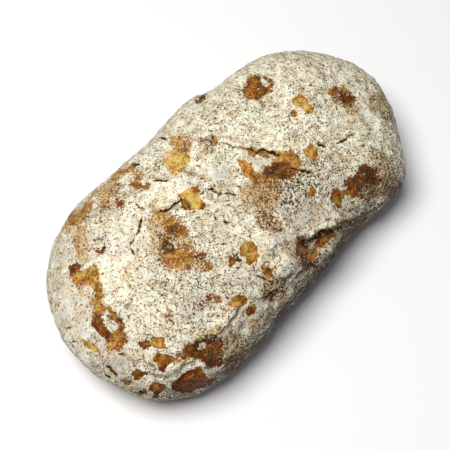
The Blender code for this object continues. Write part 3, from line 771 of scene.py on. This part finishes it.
fields = {
    "bare": bare, "bake": bake, "soft": soft, "thin": thin,
    "pepper": pepper, "blush": blush, "crevice": crevice, "flank_shade": flank_shade,
}
for name, values in fields.items():
    crust_mesh.attributes.new(name, "FLOAT", "POINT").data.foreach_set("value", values.astype(np.float32))

FLOUR_THICK = (0.875, 0.855, 0.68, 1)
FLOUR_LIP = (0.90, 0.84, 0.60, 1)
FLOUR_THIN = (0.56, 0.52, 0.46, 1)
FLOUR_BLUSH = (0.66, 0.52, 0.42, 1)
FLOUR_TOASTED = (0.60, 0.42, 0.20, 1)
FLOUR_SHADE = (0.27, 0.24, 0.17, 1)
SPECK_DARK = (0.038, 0.030, 0.016, 1)
SPECK_TAN = (0.15, 0.115, 0.065, 1)
SPECK_RIM = (0.39, 0.34, 0.23, 1)
# Painted shade of the flank turned from the lamp, and its paler specks.
FLANK_SHADE_DARK = (0.056, 0.036, 0.023, 1)
FLANK_SHADE_SPECKS = (0.34, 0.285, 0.215, 1)
CRUST_DUST = (0.47, 0.295, 0.12, 1)
OLIVE_TINT = (0.93, 1.10, 1.0, 1)
RUSSET_TINT = (1.08, 0.90, 0.95, 1)
TORN_CRUMB = (0.34, 0.21, 0.075, 1)
# the dark of a tear's line: dark crust with painted shade of its slot
CREVICE_SHADE = (0.042, 0.024, 0.010, 1)
HAIRLINE = (0.11, 0.08, 0.035, 1)
BAKE_SHADES = (
    (0.00, (0.66, 0.44, 0.125, 1)),
    (0.25, (0.40, 0.225, 0.045, 1)),
    (0.42, (0.270, 0.098, 0.010, 1)),
    (0.60, (0.145, 0.035, 0.003, 1)),
    (0.80, (0.055, 0.012, 0.002, 1)),
    (1.00, (0.014, 0.006, 0.003, 1)),
)

crust_finish = bpy.data.materials.new("floured crust")
crust_finish.use_nodes = True
finish_nodes = crust_finish.node_tree.nodes
finish_links = crust_finish.node_tree.links
crust_shader = finish_nodes["Principled BSDF"]
where = finish_nodes.new("ShaderNodeTexCoord").outputs["Object"]


def attach(value, socket):
    """Set a socket to a number or colour, or link it to an output."""
    if isinstance(value, bpy.types.NodeSocket):
        finish_links.new(value, socket)
    else:
        socket.default_value = value


def field(name):
    node = finish_nodes.new("ShaderNodeAttribute")
    node.attribute_name = name
    return node.outputs["Fac"]


def moved(kind, shift):
    """A pattern's node, with its place on the loaf moved aside, so that no two patterns share their spots."""
    place = finish_nodes.new("ShaderNodeVectorMath")
    place.operation = "ADD"
    finish_links.new(where, place.inputs[0])
    place.inputs[1].default_value = (shift, shift, shift)
    node = finish_nodes.new(kind)
    finish_links.new(place.outputs[0], node.inputs["Vector"])
    return node


def speckle(size, detail=2.0, roughness=0.5, shift=0.0):
    """Noise from 0 to 1 with spots of this size in millimetres."""
    node = moved("ShaderNodeTexNoise", shift)
    node.inputs["Scale"].default_value = 1 / (size * MM)
    node.inputs["Detail"].default_value = detail
    node.inputs["Roughness"].default_value = roughness
    return node.outputs["Fac"]


def cells(size, shift):
    """(distance from the nearest of many scattered points, a number from 0 to 1 of that point's own)."""
    node = moved("ShaderNodeTexVoronoi", shift)
    node.inputs["Scale"].default_value = 1 / (size * MM)
    return node.outputs["Distance"], node.outputs["Color"]


def reckon(kind, first, second, third=0.0):
    node = finish_nodes.new("ShaderNodeMath")
    node.operation = kind
    for value, socket in zip((first, second, third), node.inputs):
        attach(value, socket)
    return node.outputs[0]


def add(first, second):
    return reckon("ADD", first, second)


def times(first, second):
    return reckon("MULTIPLY", first, second)


def ramp_up(value, low, high, start=0.0, end=1.0):
    """Share from start to end as the value goes from low to high."""
    node = finish_nodes.new("ShaderNodeMapRange")
    node.interpolation_type = "SMOOTHSTEP"
    entries = {"Value": value, "From Min": low, "From Max": high, "To Min": start, "To Max": end}
    for name, entry in entries.items():
        attach(entry, node.inputs[name])
    return node.outputs["Result"]


def swing(pattern, fall, rise, low=0.3, high=0.7):
    """A pattern as a change of something else, from -fall to +rise."""
    return ramp_up(pattern, low, high, -fall, rise)


def ramp_line(value, low, high):
    """How far the value has gone from low to high, without an end at 0 or 1."""
    node = finish_nodes.new("ShaderNodeMapRange")
    node.clamp = False
    for name, entry in {"Value": value, "From Min": low, "From Max": high}.items():
        attach(entry, node.inputs[name])
    return node.outputs["Result"]


def blend(share, first, second, kind="MIX"):
    node = finish_nodes.new("ShaderNodeMix")
    node.data_type = "RGBA"
    node.blend_type = kind
    attach(share, node.inputs["Factor"])
    attach(first, node.inputs["A"])
    attach(second, node.inputs["B"])
    return next(output for output in node.outputs if output.type == "RGBA")


def fissures(size, waver):
    """Thin wavering lines between cells of this size in millimetres."""
    drift = finish_nodes.new("ShaderNodeTexNoise")
    drift.inputs["Scale"].default_value = 1 / (0.4 * size * MM)
    finish_links.new(where, drift.inputs["Vector"])
    place = finish_nodes.new("ShaderNodeVectorMath")
    place.operation = "MULTIPLY_ADD"
    finish_links.new(drift.outputs["Color"], place.inputs[0])
    place.inputs[1].default_value = (waver * MM, waver * MM, waver * MM)
    finish_links.new(where, place.inputs[2])
    node = finish_nodes.new("ShaderNodeTexVoronoi")
    node.feature = "DISTANCE_TO_EDGE"
    node.inputs["Scale"].default_value = 1 / (size * MM)
    finish_links.new(place.outputs[0], node.inputs["Vector"])
    return ramp_up(node.outputs["Distance"], 0.0, FISSURE_EDGE, 1.0, 0.0)


def spots(size, radius, shift):
    """Round specks in cells of this size in millimetres: 0 at a speck's rim, and more than 0 inside it."""
    distance, own = cells(size, shift)
    own_radius = reckon("MULTIPLY_ADD", own, SPOT_SPREAD, radius)
    return ramp_line(reckon("SUBTRACT", own_radius, distance), 0.0, SPOT_EDGE)


FISSURE_EDGE = 0.07  # share of a cell's size over which a fissure's line fades
SPOT_EDGE = 0.07  # share of a cell's size over which a speck's rim sets in
SPOT_SPREAD = 0.26  # more radius, as a share of the cell, for the largest speck than for the smallest

broad = speckle(11, detail=3)
medium = speckle(4.5, roughness=0.6)
fine = speckle(1.8, roughness=0.6)
dust = speckle(0.9, detail=1)
softness = field("soft")
bareness_here = field("bare")
crevice_here = field("crevice")

# The flour: thick and cream, thin and grey or tan, toasted round the bare patches, and shaded by its grain.
blotches = add(swing(broad, 0.18, 0.18), swing(speckle(5.5, roughness=0.6, shift=21.7), 0.12, 0.12))
flour = blend(ramp_up(add(field("thin"), blotches), 0.1, 1.0), FLOUR_THICK, FLOUR_THIN)
tan = add(field("blush"), swing(speckle(3.2, roughness=0.6, shift=17.9), 0.2, 0.16))
flour = blend(ramp_up(tan, 0.2, 1.0), flour, FLOUR_BLUSH)
halo = ramp_up(add(bareness_here, swing(medium, 0.3, 0.3)), -1.2, 0.0, 0.0, 0.8)
flour = blend(times(halo, add(softness, 0.05)), flour, FLOUR_TOASTED)
peppered = add(field("pepper"), swing(medium, 0.35, 0.35, 0.25, 0.75))
flour_grain = ramp_up(speckle(0.75, detail=1, roughness=0.6, shift=6.2), 0.38, 0.66)
flour = blend(times(flour_grain, ramp_up(peppered, -0.5, 0.8, 0.1, 0.45)), flour, FLOUR_SHADE)

# Dark marks in the flour: scuffs, short curls, pits and specks, each with a paler rim, and hairline cracks.
SCUFF_SIZE = 1.15  # mm
SCUFF_LEVELS = (0.655, 0.69)  # noise from where a scuff begins, and where it is whole
CURL_SIZE = 2.6
CURL_WIDTH = (0.05, 0.02)  # noise to either side of a curl's line, at its edge and where it is whole
CURL_GAP = 2.0
CURL_LEVELS = (0.59, 0.64)
PIT_CELL = 2.3
PIT_RADIUS = 0.035  # share of its cell
SPECK_CELL = 1.35
SPECK_RADIUS = 0.02
PEPPER_RADIUS = 0.13  # more of either where the flour is peppered
HAIRLINE_CELL = 7.5
HAIRLINE_WAVER = 2.4

scuff_noise = add(speckle(SCUFF_SIZE, detail=1.5, roughness=0.6, shift=1.3), times(peppered, 0.075))
scuffs = ramp_line(scuff_noise, *SCUFF_LEVELS)
curl_line = reckon("ABSOLUTE", reckon("SUBTRACT", speckle(CURL_SIZE, detail=1, shift=8.8), 0.5), 0.0)
curl_gaps = add(speckle(CURL_GAP, detail=1, shift=2.2), times(peppered, 0.07))
curls = reckon("MINIMUM", ramp_line(curl_line, *CURL_WIDTH), ramp_line(curl_gaps, *CURL_LEVELS))
pits = spots(PIT_CELL, reckon("MULTIPLY_ADD", peppered, PEPPER_RADIUS, PIT_RADIUS), 5.7)
specks = spots(SPECK_CELL, reckon("MULTIPLY_ADD", peppered, PEPPER_RADIUS, SPECK_RADIUS), 3.1)
dark_marks = reckon("MAXIMUM", reckon("MAXIMUM", scuffs, specks), reckon("MAXIMUM", curls, pits))
flour = blend(ramp_up(dark_marks, -0.8, 0.3, 0.0, 0.5), flour, SPECK_RIM)
speck_share = ramp_up(dark_marks, 0.0, 0.7)
flour = blend(speck_share, flour, blend(ramp_up(fine, 0.5, 0.64), SPECK_DARK, SPECK_TAN))
crisp_rim = ramp_up(softness, 0.1, 0.4, 1.0, 0.0)
flour = blend(times(ramp_up(bareness_here, -0.9, -0.2, 0.0, 0.6), crisp_rim), flour, FLOUR_LIP)
hairline_places = ramp_up(speckle(13, roughness=0.6, shift=4.4), 0.52, 0.66, 0.0, 0.6)
hairlines = times(fissures(HAIRLINE_CELL, HAIRLINE_WAVER), hairline_places)
flour = blend(hairlines, flour, HAIRLINE)

# The bare crust: pale crumb to gold, brown and char, mottled, with flour left in its pores and in flecks.
stipple = swing(speckle(1.15, roughness=0.7, shift=9.9), 1.0, 1.0, 0.32, 0.68)
mottle = add(swing(medium, 0.17, 0.17), swing(fine, 0.12, 0.12))
mottle = add(mottle, times(stipple, reckon("MULTIPLY_ADD", softness, 0.2, 0.04)))
mottle = add(mottle, ramp_up(bareness_here, 0.1, 0.7, 0.08, -0.02))
mottle = add(mottle, ramp_up(flour_grain, 0.0, 1.0, -0.05, 0.07))
shades = finish_nodes.new("ShaderNodeValToRGB")
shades.color_ramp.elements[0].color = BAKE_SHADES[0][1]
shades.color_ramp.elements[1].color = BAKE_SHADES[-1][1]
for position, shade in BAKE_SHADES[1:-1]:
    shades.color_ramp.elements.new(position).color = shade
finish_links.new(add(field("bake"), mottle), shades.inputs["Fac"])
tint = blend(ramp_up(speckle(5, detail=1, shift=14.2), 0.38, 0.62), OLIVE_TINT, RUSSET_TINT)
crust_colour = blend(1.0, shades.outputs["Color"], tint, "MULTIPLY")
dusty = times(ramp_up(dust, 0.51, 0.62, 0.0, 0.5), reckon("MULTIPLY_ADD", softness, 0.9, 0.06))
crust_colour = blend(dusty, crust_colour, CRUST_DUST)
flecks = ramp_up(speckle(2.4, roughness=0.6, shift=19.3), 0.67, 0.71, 0.0, 0.8)
crust_colour = blend(times(flecks, ramp_up(softness, 0.2, 0.5)), crust_colour, FLOUR_LIP)

# Where the flour ends: along flakes on a crisp rim, and in a sprinkle of grains on a soft one.
FLAKE_SIZE = 2.2  # mm
FLAKE_REACH = 0.35  # bareness by which a flake juts out or stays behind
SPRINKLE_REACH = 0.85  # the same for a grain, on the softest rim

flakes = ramp_up(cells(FLAKE_SIZE, 8.3)[1], 0, 1, -FLAKE_REACH, FLAKE_REACH)
rim_grain = swing(speckle(1.3, detail=2.5, roughness=0.75, shift=12.4), 1.0, 1.0, 0.32, 0.68)
rim = add(flakes, times(rim_grain, times(softness, SPRINKLE_REACH)))
bare_share = ramp_up(add(bareness_here, rim), -0.14, 0.16)
colour = blend(bare_share, flour, crust_colour)

# The painted shade of the flank turned from the lamp with its paler specks, then the torn crumb beside a tear
# and the dark inside it, dark crust with painted shade of the slot.
# Painted shade of the flank turned from the lamp, broken up by noise.
flank_shade_here = add(field("flank_shade"), add(swing(broad, 0.2, 0.2), times(rim_grain, 0.4)))
flank_shade_speckle = add(speckle(1.2, roughness=0.6, shift=23.1), swing(medium, 0.07, 0.07, 0.25, 0.75))
flank_shade_colour = blend(ramp_up(flank_shade_speckle, 0.56, 0.62), FLANK_SHADE_DARK, FLANK_SHADE_SPECKS)
colour = blend(ramp_up(flank_shade_here, 0.35, 0.8, 0.0, 0.95), colour, flank_shade_colour)
crumb_share = ramp_up(add(crevice_here, swing(fine, 0.12, 0.12)), 0.1, 0.42, 0.0, 0.8)
colour = blend(crumb_share, colour, TORN_CRUMB)
# A tear's line darkens to near black: dark crust with painted shade of its slot.
crevice_shade_share = ramp_up(add(crevice_here, swing(fine, 0.3, 0.25)), 0.32, 0.66)
colour = blend(crevice_shade_share, colour, CREVICE_SHADE)
finish_links.new(colour, crust_shader.inputs["Base Color"])

FLOUR_ROUGHNESS = 0.95
CRUST_ROUGHNESS = 0.52
CRUST_SHINE = 0.05

roughness = ramp_up(bare_share, 0, 1, FLOUR_ROUGHNESS, CRUST_ROUGHNESS)
finish_links.new(roughness, crust_shader.inputs["Roughness"])
crust_shader.inputs["Specular IOR Level"].default_value = CRUST_SHINE

# The flour's grain, too fine for the mesh.
GRAIN_STRENGTH = 0.8
GRAIN_HEIGHT = 0.6  # mm

grain = add(times(dust, 0.5), times(fine, 0.8))
relief = finish_nodes.new("ShaderNodeBump")
relief.inputs["Strength"].default_value = GRAIN_STRENGTH
relief.inputs["Distance"].default_value = GRAIN_HEIGHT * MM
finish_links.new(reckon("SUBTRACT", grain, times(speck_share, 0.35)), relief.inputs["Height"])
finish_links.new(relief.outputs["Normal"], crust_shader.inputs["Normal"])

crust = bpy.data.objects.new("crust", crust_mesh)
bpy.context.scene.collection.objects.link(crust)
crust_mesh.materials.append(crust_finish)
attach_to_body(crust, "root")
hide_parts("loaf")


# The studio: a plain white floor, one broad soft lamp high behind the loaf, and an even pale sky.
FLOOR_SIZE = 8.0  # m
FLOOR_WHITE = (0.82, 0.82, 0.82, 1)
SKY_COLOUR = (0.78, 0.84, 1.0, 1)
SKY_STRENGTH = 0.19
LAMP_WIDTH = 0.9  # m
LAMP_POWER = 29.5  # W
LAMP_COLOUR = (1.0, 0.98, 0.95)
LAMP_PLACE = (-0.34, 0.22, 1.5)
LAMP_TARGET = (0, 0, 0.05)
CAMERA_PLACE = (-0.2502, -0.2287, 0.7376)
CAMERA_TARGET = (-0.0113, -0.0044, 0.0348)
CAMERA_LENS = 85  # mm
CAMERA_FILM = 36  # mm wide


def aim(thing, target):
    thing.rotation_euler = (Vector(target) - thing.location).to_track_quat("-Z", "Y").to_euler()


floor_mesh = bpy.data.meshes.new("floor")
floor_maker = bmesh.new()
bmesh.ops.create_grid(floor_maker, x_segments=1, y_segments=1, size=FLOOR_SIZE / 2)
floor_maker.to_mesh(floor_mesh)
floor_maker.free()
floor = bpy.data.objects.new("floor", floor_mesh)
bpy.context.scene.collection.objects.link(floor)
floor_finish = bpy.data.materials.new("white floor")
floor_finish.use_nodes = True
floor_finish.node_tree.nodes["Principled BSDF"].inputs["Base Color"].default_value = FLOOR_WHITE
floor_finish.node_tree.nodes["Principled BSDF"].inputs["Roughness"].default_value = 0.9
floor_mesh.materials.append(floor_finish)

sky = bpy.data.worlds.new("pale sky")
sky.use_nodes = True
sky.node_tree.nodes["Background"].inputs["Color"].default_value = SKY_COLOUR
sky.node_tree.nodes["Background"].inputs["Strength"].default_value = SKY_STRENGTH
bpy.context.scene.world = sky

key_lamp = bpy.data.lights.new("key lamp", "AREA")
key_lamp.shape = "DISK"
key_lamp.size = LAMP_WIDTH
key_lamp.energy = LAMP_POWER
key_lamp.color = LAMP_COLOUR
key = bpy.data.objects.new("key lamp", key_lamp)
key.location = LAMP_PLACE
aim(key, LAMP_TARGET)
bpy.context.scene.collection.objects.link(key)

camera_data = bpy.data.cameras.new("camera")
camera_data.lens = CAMERA_LENS
camera_data.sensor_width = CAMERA_FILM
camera = bpy.data.objects.new("camera", camera_data)
camera.location = CAMERA_PLACE
aim(camera, CAMERA_TARGET)
bpy.context.scene.collection.objects.link(camera)
bpy.context.scene.camera = camera
bpy.context.scene.view_settings.view_transform = "Standard"
